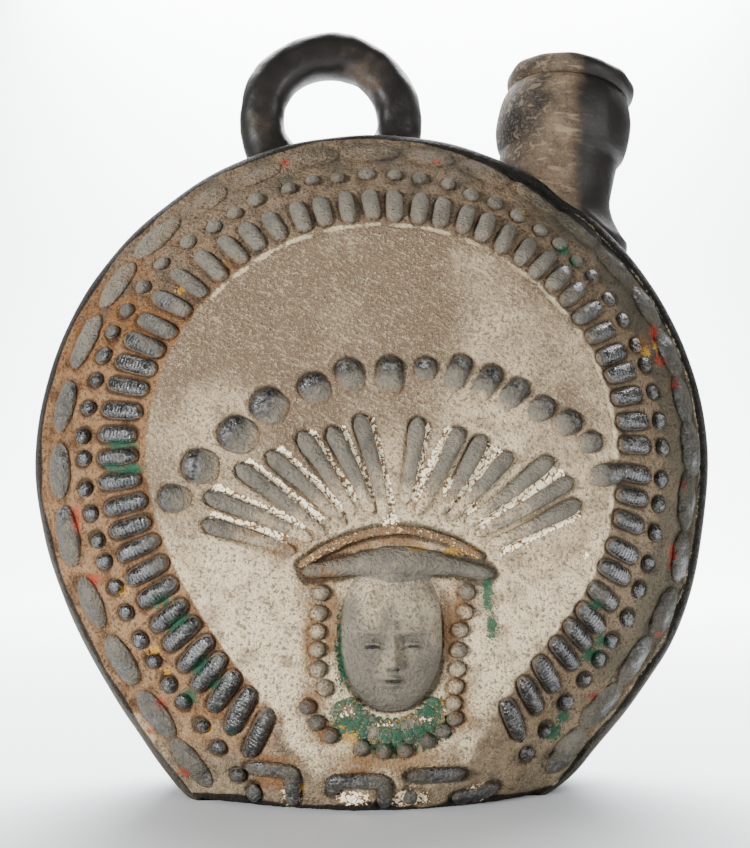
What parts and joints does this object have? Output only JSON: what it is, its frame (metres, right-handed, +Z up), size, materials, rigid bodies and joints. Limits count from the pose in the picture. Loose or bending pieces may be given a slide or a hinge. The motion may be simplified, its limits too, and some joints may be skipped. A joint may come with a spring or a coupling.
{
  "type": "moulded blackware flask",
  "caption": "Upright disc-shaped pottery flask with a leaning bulged spout, a ring handle, a moulded border and a relief head in a feather headdress.",
  "frame": {"origin": "middle of the flat underside, on the seam plane between the two half shells", "axes": "+Z up through the body, -Y towards the relief front, +X towards the spout"},
  "size_m": [0.216, 0.0924, 0.2523],
  "materials": {
    "moulded_clay": "matt",
    "burnished_clay": "burnished",
    "bare_clay": "matt",
    "spout_clay": "worn burnish",
    "relief_clay": "satin",
    "painted_clay": "matt mineral paint"
  },
  "bodies": {
    "root": {"front_half": "moulded_clay", "back_half": "burnished_clay", "ring_handle": "burnished_clay", "base_slab": "bare_clay", "spout_neck": "spout_clay", "spout_lip": "spout_clay", "figure_head": "relief_clay", "headband": "relief_clay", "crown_cord": "relief_clay", "feather_01": "relief_clay", "feather_02": "relief_clay", "feather_03": "relief_clay", "feather_04": "relief_clay", "feather_05": "relief_clay", "feather_06": "relief_clay", "feather_07": "relief_clay", "feather_08": "relief_clay", "feather_09": "relief_clay", "feather_10": "relief_clay", "feather_11": "relief_clay", "feather_12": "relief_clay", "feather_13": "relief_clay", "feather_14": "relief_clay", "feather_tip_01": "relief_clay", "feather_tip_02": "relief_clay", "feather_tip_03": "relief_clay", "feather_tip_04": "relief_clay", "feather_tip_05": "relief_clay", "feather_tip_06": "relief_clay", "feather_tip_07": "relief_clay", "feather_tip_08": "relief_clay", "feather_tip_09": "relief_clay", "feather_tip_10": "relief_clay", "feather_tip_11": "relief_clay", "feather_tip_12": "relief_clay", "feather_tip_13": "relief_clay", "feather_tip_14": "relief_clay", "feather_tip_15": "relief_clay", "ear_pellet_left_1": "relief_clay", "ear_pellet_left_2": "relief_clay", "ear_pellet_left_3": "relief_clay", "ear_pellet_left_4": "relief_clay", "ear_pellet_left_5": "relief_clay", "ear_pellet_left_6": "relief_clay", "ear_pellet_right_1": "relief_clay", "ear_pellet_right_2": "relief_clay", "ear_pellet_right_3": "relief_clay", "ear_pellet_right_4": "relief_clay", "ear_pellet_right_5": "relief_clay", "ear_pellet_right_6": "relief_clay", "ear_pellet_right_7": "relief_clay", "foot_fret_1": "relief_clay", "foot_fret_2": "relief_clay", "foot_fret_3": "relief_clay", "foot_fret_hook": "relief_clay", "collar": "painted_clay"}
  },
  "joints": []
}
